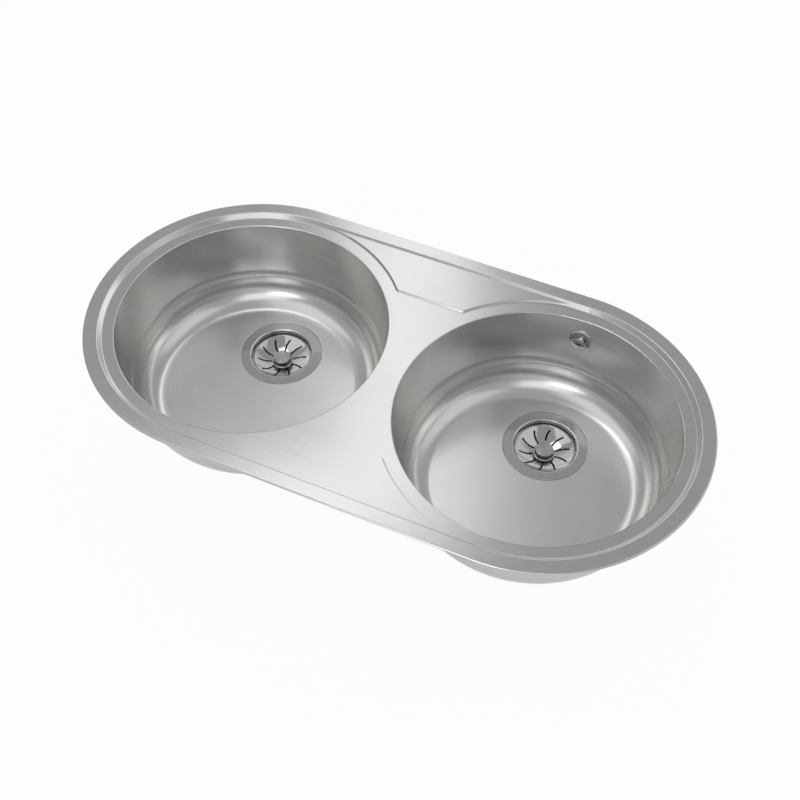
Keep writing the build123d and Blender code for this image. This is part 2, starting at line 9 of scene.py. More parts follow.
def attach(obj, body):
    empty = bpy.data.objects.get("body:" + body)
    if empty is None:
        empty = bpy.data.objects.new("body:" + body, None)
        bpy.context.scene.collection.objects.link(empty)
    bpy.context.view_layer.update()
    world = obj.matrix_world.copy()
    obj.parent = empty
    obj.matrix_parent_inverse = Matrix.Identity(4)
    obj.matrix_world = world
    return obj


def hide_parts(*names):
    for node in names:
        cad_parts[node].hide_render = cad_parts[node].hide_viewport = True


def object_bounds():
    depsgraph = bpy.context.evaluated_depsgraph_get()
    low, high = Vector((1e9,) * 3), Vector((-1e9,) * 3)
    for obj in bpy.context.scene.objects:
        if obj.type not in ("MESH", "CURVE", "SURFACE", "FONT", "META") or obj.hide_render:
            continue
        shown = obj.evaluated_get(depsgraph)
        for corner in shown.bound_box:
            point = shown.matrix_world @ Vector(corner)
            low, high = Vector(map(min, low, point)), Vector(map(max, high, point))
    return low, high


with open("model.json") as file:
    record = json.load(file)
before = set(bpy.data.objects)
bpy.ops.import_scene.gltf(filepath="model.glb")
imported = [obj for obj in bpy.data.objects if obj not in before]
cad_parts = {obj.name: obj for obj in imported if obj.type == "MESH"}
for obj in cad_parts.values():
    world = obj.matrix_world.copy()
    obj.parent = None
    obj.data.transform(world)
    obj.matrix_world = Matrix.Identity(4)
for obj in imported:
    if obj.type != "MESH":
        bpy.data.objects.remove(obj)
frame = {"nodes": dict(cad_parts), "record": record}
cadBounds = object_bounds()
nodes = frame["nodes"]
sides = ("left", "right")
mm = 0.001
print("frame loaded:", len(nodes), "nodes")


# ---- places, taken from the frame

def nodeCorners(name):
    # lowest and highest corner of a node's mesh in millimetres
    spots = [nodes[name].matrix_world @ vertex.co / mm for vertex in nodes[name].data.vertices]
    low = Vector([min(spot[axis] for spot in spots) for axis in range(3)])
    high = Vector([max(spot[axis] for spot in spots) for axis in range(3)])
    return low, high


def axisOf(name):
    # place of a round node's upright axis, in metres at height zero
    low, high = nodeCorners(name)
    return Vector((low.x + high.x, low.y + high.y, 0.0)) * mm / 2


bowlCentre = {side: axisOf(side + "_bowl") for side in sides}
drainCentre = {side: axisOf(side + "_clamp_insert") for side in sides}
floorLevel = nodeCorners("left_strainer_flange")[1].z * mm  # the bowls' floors
print("places ready")


# ---- camera

view = {
    "place": (0.4225, -0.9146, 1.2294),
    "right": (0.9131, 0.4078, 0.0),
    "up": (-0.3219, 0.7207, 0.6140),
    "lens": 56.04,
    "sensor": 36.0,
}


def makeCamera():
    data = bpy.data.cameras.new("camera")
    data.lens = view["lens"]
    data.sensor_width = view["sensor"]
    camera = bpy.data.objects.new("camera", data)
    bpy.context.scene.collection.objects.link(camera)
    right = Vector(view["right"]).normalized()
    up = Vector(view["up"])
    back = right.cross(up).normalized()
    up = back.cross(right)
    turn = Matrix((right, up, back)).transposed()
    camera.matrix_world = Matrix.Translation(view["place"]) @ turn.to_4x4()
    bpy.context.scene.camera = camera


makeCamera()
print("camera ready")


# ---- studio

studio = {
    "floorSize": 12.0,
    "floorGap": 0.001,  # floor below the waste outlets
    "floorColour": (0.9, 0.9, 0.9, 1.0),
    "floorPaper": 0.95,  # share of plain white in the floor that the camera sees
    "floorGlossPaper": 0.4,  # the same for the gloss
    "domeLevel": 0.4,
    "domeGlossPaper": 0.06,  # share of plain white in the sky that the gloss sees
    "lampDistance": 3.5,
    "lamps": {
        # heading from the back clockwise, height, width and upright size in degrees, radiance
        "leftStrip": (337.0, 46.0, 9.0, 34.0, 1.1),
        "leftStripTop": (313.0, 66.0, 12.0, 16.0, 2.1),
        "backLow": (15.0, 18.0, 60.0, 22.0, 1.0),
        "backLowLeft": (325.0, 18.0, 50.0, 22.0, 0.6),
        "rightHigh": (70.0, 52.0, 50.0, 36.0, 0.4),
        "rightLow": (80.0, 16.0, 50.0, 26.0, 0.4),
        "frontHigh": (165.0, 42.0, 36.0, 30.0, 0.8),
        "frontLow": (182.0, 16.0, 24.0, 34.0, 1.9),
        "frontWide": (170.0, 7.0, 110.0, 12.0, 1.0),
        "leftHigh": (240.0, 62.0, 50.0, 34.0, 0.5),
    },
}


def link(tree, output, target):
    tree.links.new(output, target)


def addNode(tree, kind, **values):
    node = tree.nodes.new(kind)
    for name, value in values.items():
        if name in node.inputs:
            node.inputs[name].default_value = value
        else:
            setattr(node, name, value)
    return node


def paperShare(tree, glossShare, cameraShare=1.0):
    # how much plain white a ray sees: the camera's share, or that of the gloss and of clear pieces
    path = addNode(tree, "ShaderNodeLightPath")
    gloss = addNode(tree, "ShaderNodeMath", operation="MAXIMUM")
    link(tree, path.outputs["Is Glossy Ray"], gloss.inputs[0])
    link(tree, path.outputs["Is Transmission Ray"], gloss.inputs[1])
    scaled = addNode(tree, "ShaderNodeMath", operation="MULTIPLY")
    link(tree, gloss.outputs[0], scaled.inputs[0])
    scaled.inputs[1].default_value = glossShare
    camera = addNode(tree, "ShaderNodeMath", operation="MULTIPLY")
    link(tree, path.outputs["Is Camera Ray"], camera.inputs[0])
    camera.inputs[1].default_value = cameraShare
    share = addNode(tree, "ShaderNodeMath", operation="MAXIMUM")
    link(tree, scaled.outputs[0], share.inputs[0])
    link(tree, camera.outputs[0], share.inputs[1])
    return share.outputs[0]


def makeWorld():
    world = bpy.data.worlds.new("studio")
    bpy.context.scene.world = world
    world.use_nodes = True
    tree = world.node_tree
    tree.nodes.clear()
    dome = addNode(tree, "ShaderNodeBackground", Color=(1.0, 1.0, 1.0, 1.0), Strength=studio["domeLevel"])
    paper = addNode(tree, "ShaderNodeBackground", Color=(1.0, 1.0, 1.0, 1.0), Strength=1.0)
    mix = addNode(tree, "ShaderNodeMixShader")
    out = addNode(tree, "ShaderNodeOutputWorld")
    link(tree, paperShare(tree, studio["domeGlossPaper"]), mix.inputs[0])
    link(tree, dome.outputs[0], mix.inputs[1])
    link(tree, paper.outputs[0], mix.inputs[2])
    link(tree, mix.outputs[0], out.inputs[0])


def makeLamps():
    # soft boxes on a sphere round the object, each facing its centre
    distance = studio["lampDistance"]
    for name, (heading, height, width, tall, level) in studio["lamps"].items():
        turn, rise = math.radians(heading), math.radians(height)
        away = Vector((math.sin(turn) * math.cos(rise), math.cos(turn) * math.cos(rise), math.sin(rise)))
        data = bpy.data.lights.new(name, "AREA")
        data.shape = "RECTANGLE"
        data.size = 2 * distance * math.tan(math.radians(width / 2))
        data.size_y = 2 * distance * math.tan(math.radians(tall / 2))
        data.energy = level * math.pi * data.size * data.size_y
        lamp = bpy.data.objects.new(name, data)
        bpy.context.scene.collection.objects.link(lamp)
        lamp.location = away * distance
        lamp.rotation_euler = (-away).to_track_quat("-Z", "Y").to_euler()


def makeFloor():
    mesh = bpy.data.meshes.new("floor")
    half = studio["floorSize"] / 2
    z = cadBounds[0].z - studio["floorGap"]
    corners = [(-half, -half, z), (half, -half, z), (half, half, z), (-half, half, z)]
    mesh.from_pydata(corners, [], [(0, 1, 2, 3)])
    floor = bpy.data.objects.new("floor", mesh)
    bpy.context.scene.collection.objects.link(floor)
    material = bpy.data.materials.new("paperFloor")
    material.use_nodes = True
    tree = material.node_tree
    tree.nodes.clear()
    shaded = addNode(tree, "ShaderNodeBsdfDiffuse", Color=studio["floorColour"])
    paper = addNode(tree, "ShaderNodeEmission", Color=(1.0, 1.0, 1.0, 1.0), Strength=1.0)
    mix = addNode(tree, "ShaderNodeMixShader")
    out = addNode(tree, "ShaderNodeOutputMaterial")
    link(tree, paperShare(tree, studio["floorGlossPaper"], studio["floorPaper"]), mix.inputs[0])
    link(tree, shaded.outputs[0], mix.inputs[1])
    link(tree, paper.outputs[0], mix.inputs[2])
    link(tree, mix.outputs[0], out.inputs[0])
    mesh.materials.append(material)


bpy.context.scene.view_settings.view_transform = "Standard"
makeWorld()
makeLamps()
makeFloor()
print("studio ready")


# ---- shared shader groups

def newGroup(name, inputs, outputs):
    tree = bpy.data.node_groups.new(name, "ShaderNodeTree")
    for socketName, kind, value in inputs:
        socket = tree.interface.new_socket(socketName, in_out="INPUT", socket_type=kind)
        socket.default_value = value
    for socketName, kind in outputs:
        tree.interface.new_socket(socketName, in_out="OUTPUT", socket_type=kind)
    return tree, tree.nodes.new("NodeGroupInput"), tree.nodes.new("NodeGroupOutput")


def vectorMath(tree, operation, first, second=None):
    node = addNode(tree, "ShaderNodeVectorMath", operation=operation)
    link(tree, first, node.inputs[0])
    if isinstance(second, tuple):
        node.inputs[1].default_value = second
    elif second:
        link(tree, second, node.inputs[1])
    return node


def valueMath(tree, operation, first, second=None):
    node = addNode(tree, "ShaderNodeMath", operation=operation)
    link(tree, first, node.inputs[0])
    if isinstance(second, float):
        node.inputs[1].default_value = second
    elif second:
        link(tree, second, node.inputs[1])
    return node.outputs[0]


lineNoise = {"Scale": 1.0, "Detail": 3.0, "Roughness": 0.6}
patchNoise = {"Detail": 2.0, "Roughness": 0.5}
gritNoise = {"Detail": 2.0, "Roughness": 0.7}


def makeLineGrain():
    # brushing lines along the object's x axis
    inputs = [("Stretch", "NodeSocketVector", (8.0, 1400.0, 1400.0))]
    tree, given, result = newGroup("lineGrain", inputs, [("Grain", "NodeSocketFloat")])
    place = addNode(tree, "ShaderNodeTexCoord")
    scaled = vectorMath(tree, "MULTIPLY", place.outputs["Object"], given.outputs["Stretch"])
    lines = addNode(tree, "ShaderNodeTexNoise", **lineNoise)
    link(tree, scaled.outputs[0], lines.inputs["Vector"])
    link(tree, lines.outputs["Fac"], result.inputs["Grain"])
    return tree


def makeRoundGrain():
    # turning lines round an upright axis; the second pair of coordinates keeps them seamless
    inputs = [("Centre", "NodeSocketVector", (0.0, 0.0, 0.0)),
              ("Fineness", "NodeSocketFloat", 1400.0),
              ("Sweep", "NodeSocketFloat", 2.0)]
    tree, given, result = newGroup("roundGrain", inputs, [("Grain", "NodeSocketFloat")])
    place = addNode(tree, "ShaderNodeTexCoord")
    away = vectorMath(tree, "SUBTRACT", place.outputs["Object"], given.outputs["Centre"])
    flat = vectorMath(tree, "MULTIPLY", away.outputs[0], (1.0, 1.0, 0.0))
    radius = vectorMath(tree, "LENGTH", flat.outputs[0]).outputs["Value"]
    height = addNode(tree, "ShaderNodeSeparateXYZ")
    link(tree, away.outputs[0], height.inputs[0])
    along = valueMath(tree, "SUBTRACT", radius, height.outputs["Z"])
    run = valueMath(tree, "MULTIPLY", along, given.outputs["Fineness"])
    heading = vectorMath(tree, "NORMALIZE", flat.outputs[0])
    turned = addNode(tree, "ShaderNodeSeparateXYZ")
    link(tree, heading.outputs[0], turned.inputs[0])
    sample = addNode(tree, "ShaderNodeCombineXYZ")
    link(tree, run, sample.inputs["X"])
    link(tree, valueMath(tree, "MULTIPLY", turned.outputs["X"], given.outputs["Sweep"]), sample.inputs["Y"])
    link(tree, valueMath(tree, "MULTIPLY", turned.outputs["Y"], given.outputs["Sweep"]), sample.inputs["Z"])
    lines = addNode(tree, "ShaderNodeTexNoise", **lineNoise)
    link(tree, sample.outputs[0], lines.inputs["Vector"])
    link(tree, lines.outputs["Fac"], result.inputs["Grain"])
    return tree


def makeMottle():
    # soft patches of handling marks or moulding shade, and a fine grit over them
    inputs = [("Patch", "NodeSocketFloat", 14.0), ("Grit", "NodeSocketFloat", 900.0)]
    outputs = [("Patches", "NodeSocketFloat"), ("Grit", "NodeSocketFloat")]
    tree, given, result = newGroup("mottle", inputs, outputs)
    place = addNode(tree, "ShaderNodeTexCoord")
    patches = addNode(tree, "ShaderNodeTexNoise", **patchNoise)
    grit = addNode(tree, "ShaderNodeTexNoise", **gritNoise)
    for texture, name in ((patches, "Patch"), (grit, "Grit")):
        link(tree, place.outputs["Object"], texture.inputs["Vector"])
        link(tree, given.outputs[name], texture.inputs["Scale"])
    link(tree, patches.outputs["Fac"], result.inputs["Patches"])
    link(tree, grit.outputs["Fac"], result.inputs["Grit"])
    return tree


groups = {"line": makeLineGrain(), "round": makeRoundGrain(), "mottle": makeMottle()}
print("shader groups ready")


# ---- finishes

finishes = {
    # colour and shade are the grain's two ends, spread is the range of the roughness, depth the bump's
    # height in metres; stretch, fineness, sweep, patch and grit are noise scales, larger for finer grain
    "deckSteel": {"colour": (0.64, 0.636, 0.625), "shade": (0.56, 0.556, 0.546), "metal": 1.0, "rough": 0.22,
                  "spread": 0.06, "depth": 0.000004, "grain": "line", "stretch": (8.0, 1400.0, 1400.0),
                  "patch": 12.0, "grit": 900.0, "anisotropy": 0.5},
    # the bowls' steel is the deck's steel made lighter: painted light that lifts the bowls' shaded walls; its
    # turning grain is real
    "bowlSteelPaintedLighter": {"colour": (0.7, 0.697, 0.686), "shade": (0.63, 0.627, 0.617), "metal": 1.0, "rough": 0.24,
                  "spread": 0.06, "depth": 0.000004, "grain": "round", "fineness": 1100.0, "sweep": 3.0,
                  "patch": 12.0, "grit": 900.0, "anisotropy": 0.0},
    "polishedSteel": {"colour": (0.6, 0.597, 0.588), "shade": (0.5, 0.497, 0.49), "metal": 1.0, "rough": 0.1,
                      "spread": 0.04, "depth": 0.000003, "grain": "round", "fineness": 1800.0, "sweep": 2.0,
                      "patch": 40.0, "grit": 1200.0, "anisotropy": 0.3},
    "turnedKnob": {"colour": (0.5, 0.5, 0.49), "shade": (0.36, 0.36, 0.355), "metal": 1.0, "rough": 0.3,
                   "spread": 0.1, "depth": 0.00002, "grain": "round", "fineness": 2600.0, "sweep": 1.0,
                   "patch": 60.0, "grit": 1500.0, "anisotropy": 0.6},
    "chrome": {"colour": (0.78, 0.78, 0.785), "shade": (0.7, 0.7, 0.71), "metal": 1.0, "rough": 0.06,
               "spread": 0.05, "depth": 0.000002, "grain": "mottle", "patch": 60.0, "grit": 2000.0,
               "anisotropy": 0.0},
    "zincPlate": {"colour": (0.62, 0.63, 0.64), "shade": (0.44, 0.455, 0.48), "metal": 1.0, "rough": 0.34,
                  "spread": 0.14, "depth": 0.00001, "grain": "mottle", "patch": 140.0, "grit": 1500.0,
                  "anisotropy": 0.0},
    "brass": {"colour": (0.76, 0.58, 0.29), "shade": (0.6, 0.43, 0.19), "metal": 1.0, "rough": 0.28,
              "spread": 0.1, "depth": 0.000012, "grain": "round", "fineness": 2600.0, "sweep": 1.0,
              "patch": 120.0, "grit": 1500.0, "anisotropy": 0.4},
    "blackRubber": {"colour": (0.028, 0.028, 0.029), "shade": (0.05, 0.049, 0.048), "metal": 0.0,
                    "rough": 0.62, "spread": 0.16, "depth": 0.00004, "grain": "mottle", "patch": 60.0,
                    "grit": 1400.0, "anisotropy": 0.0},
    "foam": {"colour": (0.2, 0.2, 0.2), "shade": (0.1, 0.1, 0.1), "metal": 0.0, "rough": 0.92,
             "spread": 0.06, "depth": 0.00025, "grain": "mottle", "patch": 90.0, "grit": 1100.0,
             "anisotropy": 0.0},
    "soundPad": {"colour": (0.115, 0.115, 0.12), "shade": (0.07, 0.07, 0.073), "metal": 0.0, "rough": 0.8,
                 "spread": 0.12, "depth": 0.0003, "grain": "mottle", "patch": 30.0, "grit": 420.0,
                 "anisotropy": 0.0},
    "whitePlastic": {"colour": (0.82, 0.82, 0.8), "shade": (0.74, 0.74, 0.715), "metal": 0.0, "rough": 0.4,
                     "spread": 0.12, "depth": 0.00003, "grain": "mottle", "patch": 24.0, "grit": 1300.0,
                     "anisotropy": 0.0},
    "hosePlastic": {"colour": (0.72, 0.735, 0.74), "shade": (0.62, 0.635, 0.645), "metal": 0.0, "rough": 0.36,
                    "spread": 0.1, "depth": 0.00002, "grain": "mottle", "patch": 50.0, "grit": 1500.0,
                    "anisotropy": 0.0},
}


acrossTurn = 0.25  # of a full turn, from along the brushing to across it
grainRange = (0.6, 1.4)  # ends of the sum of the grain and the patches
mixInputs = {"shade": 6, "colour": 7}  # the mix node's sockets for colours
mixOutput = 2


def addTangent(tree, shader, grain, centre):
    # the gloss spreads across the brushing, which runs along x or round the piece's axis
    if grain == "line":
        along = addNode(tree, "ShaderNodeCombineXYZ", X=1.0)
    else:
        place = addNode(tree, "ShaderNodeTexCoord")
        away = vectorMath(tree, "SUBTRACT", place.outputs["Object"], tuple(centre))
        along = vectorMath(tree, "CROSS_PRODUCT", away.outputs[0], (0.0, 0.0, -1.0))
    link(tree, along.outputs[0], shader.inputs["Tangent"])
    shader.inputs["Anisotropic Rotation"].default_value = acrossTurn


def makeFinish(finish, name, centre):
    values = finishes[finish]
    material = bpy.data.materials.new(name)
    material.use_nodes = True
    tree = material.node_tree
    shader = tree.nodes["Principled BSDF"]
    shader.inputs["Metallic"].default_value = values["metal"]
    mottle = addNode(tree, "ShaderNodeGroup", node_tree=groups["mottle"])
    mottle.inputs["Patch"].default_value = values["patch"]
    mottle.inputs["Grit"].default_value = values["grit"]
    height = mottle.outputs["Grit"]
    if values["grain"] != "mottle":
        grain = addNode(tree, "ShaderNodeGroup", node_tree=groups[values["grain"]])
        if values["grain"] == "line":
            grain.inputs["Stretch"].default_value = values["stretch"]
        else:
            grain.inputs["Centre"].default_value = centre
            grain.inputs["Fineness"].default_value = values["fineness"]
            grain.inputs["Sweep"].default_value = values["sweep"]
        height = grain.outputs["Grain"]
    if values["anisotropy"]:
        shader.inputs["Anisotropic"].default_value = values["anisotropy"]
        addTangent(tree, shader, values["grain"], centre)
    tint = addNode(tree, "ShaderNodeMix", data_type="RGBA")
    link(tree, height, tint.inputs[0])
    for end, socket in mixInputs.items():
        tint.inputs[socket].default_value = (*values[end], 1.0)
    link(tree, tint.outputs[mixOutput], shader.inputs["Base Color"])
    gloss = addNode(tree, "ShaderNodeMapRange")
    blend = valueMath(tree, "ADD", height, mottle.outputs["Patches"])
    link(tree, blend, gloss.inputs["Value"])
    gloss.inputs["From Min"].default_value = grainRange[0]
    gloss.inputs["From Max"].default_value = grainRange[1]
    gloss.inputs["To Min"].default_value = values["rough"] - values["spread"] / 2
    gloss.inputs["To Max"].default_value = values["rough"] + values["spread"] / 2
    link(tree, gloss.outputs["Result"], shader.inputs["Roughness"])
    bump = addNode(tree, "ShaderNodeBump", Strength=1.0, Distance=values["depth"])
    link(tree, height, bump.inputs["Height"])
    link(tree, bump.outputs["Normal"], shader.inputs["Normal"])
    return material


finishOfSlot = {
    "satin_steel": "bowlSteelPaintedLighter",
    "polished_steel": "polishedSteel",
    "satin_knob": "turnedKnob",
    "chrome": "chrome",
    "zinc_plate": "zincPlate",
    "brass": "brass",
    "black_rubber": "blackRubber",
    "foam": "foam",
    "sound_pad": "soundPad",
    "white_plastic": "whitePlastic",
    "hose_plastic": "hosePlastic",
}
madeFinishes = {}


def finishFor(slot, name):
    # one material for each finish and axis that its turning lines go round
    finish = "deckSteel" if name == "deck" else finishOfSlot[slot]
    centre = Vector((0.0, 0.0, 0.0))
    place = "whole"
    for side in sides:
        if name.startswith(side) and finishes[finish]["grain"] == "round":
            centre = bowlCentre[side] if name.endswith("bowl") else drainCentre[side]
            place = side
    key = finish + place.capitalize()
    if key not in madeFinishes:
        madeFinishes[key] = makeFinish(finish, key, centre)
    return madeFinishes[key]


for entry in frame["record"]["subparts"]:
    piece = nodes[entry["node"]]
    piece.data.materials.clear()
    piece.data.materials.append(finishFor(entry["material_slot"], entry["node"]))
print("finishes ready:", len(madeFinishes))


# ---- mesh helpers, with sizes in millimetres

touching = 1e-6  # lengths up to this count as none


def roundedLoop(corners, steps):
    # corner points (radius, height, rounding) to a closed outline with arcs
    outline = []
    for index, (x, y, rounding) in enumerate(corners):
        here = Vector((x, y))
        before = Vector(corners[index - 1][:2])
        after = Vector(corners[(index + 1) % len(corners)][:2])
        if not rounding:
            outline.append(here)
            continue
        inward = (before - here).normalized()
        outward = (after - here).normalized()
        half = inward.angle(outward) / 2
        reach = rounding / math.tan(half)
        middle = here + (inward + outward).normalized() * (rounding / math.sin(half))
        first = here + inward * reach - middle
        last = here + outward * reach - middle
        for step in range(steps + 1):
            share = step / steps
            spoke = first.slerp(last, share).normalized()
            outline.append(middle + spoke * rounding)
    return outline


def splitRun(outline, top, foot, spacing):
    # extra points on the upright run between two heights, for a thread's turns
    result = []
    for index, point in enumerate(outline):
        result.append(point)
        after = outline[(index + 1) % len(outline)]
        upright = abs(after.x - point.x) < touching and abs(after.y - point.y) > spacing
        if upright and max(point.y, after.y) <= top and min(point.y, after.y) >= foot:
            count = int(abs(after.y - point.y) / spacing)
            for step in range(1, count):
                result.append(point.lerp(after, step / count))
    return result


def addTurned(mesh, outline, place, segments, thread=None):
    # closed outline of radius and height turned round the place's z axis
    rings = []
    for index in range(segments):
        angle = 2 * math.pi * index / segments
        ring = []
        for point in outline:
            radius = point.x
            if thread:
                radius -= threadDepth(thread, point, angle)
            spot = Vector((radius * math.cos(angle), radius * math.sin(angle), point.y)) * mm
            ring.append(mesh.verts.new(place @ spot))
        rings.append(ring)
    for index, ring in enumerate(rings):
        following = rings[(index + 1) % segments]
        for step in range(len(outline)):
            ahead = (step + 1) % len(outline)
            mesh.faces.new((ring[step], following[step], following[ahead], ring[ahead]))


def threadDepth(thread, point, angle):
    # how far a point of the outline is cut in by the thread's groove, which fades at both ends
    if not thread["foot"] < point.y < thread["top"] or abs(point.x - thread["radius"]) > touching:
        return 0.0
    phase = (point.y / thread["pitch"] - angle / (2 * math.pi)) % 1.0
    groove = max(0.0, 1.0 - abs(phase - 0.5) / thread["half"])
    fade = min(1.0, (thread["top"] - point.y) / thread["pitch"], (point.y - thread["foot"]) / thread["pitch"])
    return thread["depth"] * min(groove, thread["flat"]) * fade


def addSlab(mesh, outline, thickness, place):
    # flat slab: outline in the place's x and z, thickness across its y
    layers = []
    for shift in (-thickness / 2, thickness / 2):
        layers.append([mesh.verts.new(place @ (Vector((x, shift, z)) * mm)) for x, z in outline])
    mesh.faces.new(layers[0])
    mesh.faces.new(list(reversed(layers[1])))
    for step in range(len(outline)):
        ahead = (step + 1) % len(outline)
        mesh.faces.new((layers[0][ahead], layers[0][step], layers[1][step], layers[1][ahead]))


def finishPiece(name, build, sharp=35.0):
    # build fills a bmesh; the piece gets outward faces and smooth shading up to the sharp angle
    shape = bmesh.new()
    build(shape)
    bmesh.ops.recalc_face_normals(shape, faces=shape.faces)
    data = bpy.data.meshes.new(name)
    shape.to_mesh(data)
    shape.free()
    data.shade_smooth()
    data.set_sharp_from_angle(angle=math.radians(sharp))
    piece = bpy.data.objects.new(name, data)
    bpy.context.scene.collection.objects.link(piece)
    return piece


def dress(piece, node, slot, body="root"):
    piece.data.materials.clear()
    piece.data.materials.append(finishFor(slot, node))
    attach(piece, body)
    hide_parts(node)


# ---- waste bodies, measured down from the bowls' floors

waste = {
    "bore": 44.9, "barrel": 47.9, "flange": 51.9, "top": -6.0, "flangeFoot": -10.0,
    "barrelFoot": -40.0, "coneFoot": -52.0, "outlet": 23.9, "outletBore": 18.5, "end": -70.0,
    "wall": 3.0, "collar": 25.6, "collarHeight": 2.5, "chamfer": 1.2, "segments": 120, "arcSteps": 4,
    "fineEdge": 0.4, "plainEdge": 0.6, "flangeRoot": 1.0, "coneRoot": 2.5, "outletRoot": 1.5, "boreRoot": 2.0,
    "gussets": 12, "gussetFoot": -30.0, "gussetThickness": 2.0, "gussetRoot": 1.0, "gussetTop": 0.5,
    "gussetInset": 0.8, "gussetStep": 2.0, "gussetToe": 1.2, "portGusset": 3,
    "boss": 8.0, "bossFoot": -60.0, "bossTop": -46.0, "insert": 5.55, "roof": -48.0, "screw": 3.08,
    "bossEdge": 0.3, "bossTopEdge": 0.8, "bossFootEdge": 0.5, "smallSegments": 48, "smallArcSteps": 3,
    "armThickness": 3.0, "armTop": -52.0, "armRoot": 1.0, "armTip": 0.5, "arms": 4,
    "portDrop": -24.5, "portBoss": 11.0, "portBossReach": 2.0, "spigot": 8.5, "spigotBore": 6.5,
    "spigotReach": 24.0, "spigotEdge": 0.5,
}
outletThread = {
    "radius": waste["outlet"], "top": -54.5, "foot": -69.2, "pitch": 2.309, "depth": 1.9,
    "half": 0.5, "flat": 0.78, "stepsPerTurn": 8,
}


def addWasteShell(mesh, place):
    w = waste
    collarFoot = w["coneFoot"] - w["collarHeight"]
    corners = [
        (w["bore"], w["top"], w["fineEdge"]),
        (w["flange"], w["top"], w["plainEdge"]),
        (w["flange"], w["flangeFoot"], w["plainEdge"]),
        (w["barrel"], w["flangeFoot"], w["flangeRoot"]),
        (w["barrel"], w["barrelFoot"], w["coneRoot"]),
        (w["collar"], w["coneFoot"], w["plainEdge"]),
        (w["collar"], collarFoot, w["fineEdge"]),
        (w["outlet"], collarFoot, 0.0),
        (w["outlet"], w["end"] + w["chamfer"], 0.0),
        (w["outlet"] - w["chamfer"], w["end"], 0.0),
        (w["outletBore"], w["end"], w["fineEdge"]),
        (w["outletBore"], w["coneFoot"] + w["wall"], w["outletRoot"]),
        (w["bore"], w["barrelFoot"] + w["wall"], w["boreRoot"]),
    ]
    spacing = outletThread["pitch"] / outletThread["stepsPerTurn"]
    outline = splitRun(roundedLoop(corners, w["arcSteps"]), collarFoot, w["end"], spacing)
    addTurned(mesh, outline, place, w["segments"], outletThread)


def addWasteBoss(mesh, place):
    w = waste
    corners = [
        (w["screw"], w["bossTop"], w["bossEdge"]),
        (w["boss"], w["bossTop"], w["bossTopEdge"]),
        (w["boss"], w["bossFoot"], w["bossFootEdge"]),
        (w["insert"], w["bossFoot"], w["bossEdge"]),
        (w["insert"], w["roof"], 0.0),
        (w["screw"], w["roof"], 0.0),
    ]
    addTurned(mesh, roundedLoop(corners, w["smallArcSteps"]), place, w["smallSegments"])
    root, tip = w["boss"] - w["armRoot"], w["outletBore"] + w["armTip"]
    arm = [(root, w["bossFoot"]), (tip, w["bossFoot"]), (tip, w["armTop"]), (root, w["armTop"])]
    for index in range(w["arms"]):
        turned = place @ Matrix.Rotation(2 * math.pi * index / w["arms"], 4, "Z")
        addSlab(mesh, arm, w["armThickness"], turned)


def addGussets(mesh, place, skipped):
    w = waste
    root, rim = w["barrel"] - w["gussetRoot"], w["flange"] - w["gussetInset"]
    top = w["flangeFoot"] + w["gussetTop"]
    outline = [(root, top), (rim, top), (rim, w["flangeFoot"] - w["gussetStep"]),
               (w["barrel"] + w["gussetToe"], w["gussetFoot"]), (root, w["gussetFoot"])]
    for index in range(w["gussets"]):
        if index not in skipped:
            angle = 2 * math.pi * index / w["gussets"]
            addSlab(mesh, outline, w["gussetThickness"], place @ Matrix.Rotation(angle, 4, "Z"))


def addPort(mesh, place):
    w = waste
    start = w["barrel"] - w["wall"] / 2
    corners = [
        (w["spigotBore"], start, 0.0),
        (w["portBoss"], start, 0.0),
        (w["portBoss"], w["barrel"] + w["portBossReach"], w["plainEdge"]),
        (w["spigot"], w["barrel"] + w["portBossReach"], 0.0),
        (w["spigot"], w["barrel"] + w["spigotReach"], w["spigotEdge"]),
        (w["spigotBore"], w["barrel"] + w["spigotReach"], w["spigotEdge"]),
    ]
    sideways = Matrix.Translation((0.0, 0.0, w["portDrop"] * mm)) @ Matrix.Rotation(-math.pi / 2, 4, "X")
    addTurned(mesh, roundedLoop(corners, w["smallArcSteps"]), place @ sideways, w["smallSegments"])


for side in sides:
    drain = Matrix.Translation(drainCentre[side] + Vector((0.0, 0.0, floorLevel)))

    def buildWaste(mesh):
        addWasteShell(mesh, drain)
        addWasteBoss(mesh, drain)
        if side == "right":
            addGussets(mesh, drain, (waste["portGusset"],))
            addPort(mesh, drain)
        else:
            addGussets(mesh, drain, ())

    dress(finishPiece(side + "WasteShell", buildWaste), side + "_waste_body", "white_plastic")
print("waste bodies ready")


# ---- overflow hose

hose = {
    "bend": 46.0, "cuff": 10.2, "cuffLength": 22.0, "cuffGap": 0.5, "bore": 8.6, "valley": 9.5, "crest": 11.0,
    "fullness": 0.6,  # below 1 the ribs' crests are wider than their valleys
    "pitch": 4.0, "stations": 8, "segments": 44, "boreSteps": 40,
}
hoseLow, hoseHigh = nodeCorners("overflow_hose")
hose["start"] = Vector(((hoseLow.x + hoseHigh.x) / 2, hoseHigh.y - hose["crest"], hoseHigh.z))
hose["corner"] = Vector((hose["start"].x, hose["start"].y, hoseLow.z + hose["crest"]))
hose["end"] = Vector((hose["start"].x, hoseLow.y, hose["corner"].z))


def hoseSpot(run):
    # point and direction at a length along the route
    start, corner, end = hose["start"], hose["corner"], hose["end"]
    down = (corner - start).normalized()
    inward = (end - corner).normalized()
    straight = (corner - start).length - hose["bend"]
    arc = hose["bend"] * math.pi / 2
    if run <= straight:
        return start + down * run, down
    if run <= straight + arc:
        angle = (run - straight) / hose["bend"]
        middle = corner - down * hose["bend"] + inward * hose["bend"]
        spot = middle - inward * (hose["bend"] * math.cos(angle)) + down * (hose["bend"] * math.sin(angle))
        return spot, down * math.cos(angle) + inward * math.sin(angle)
    return corner + inward * (hose["bend"] + run - straight - arc), inward


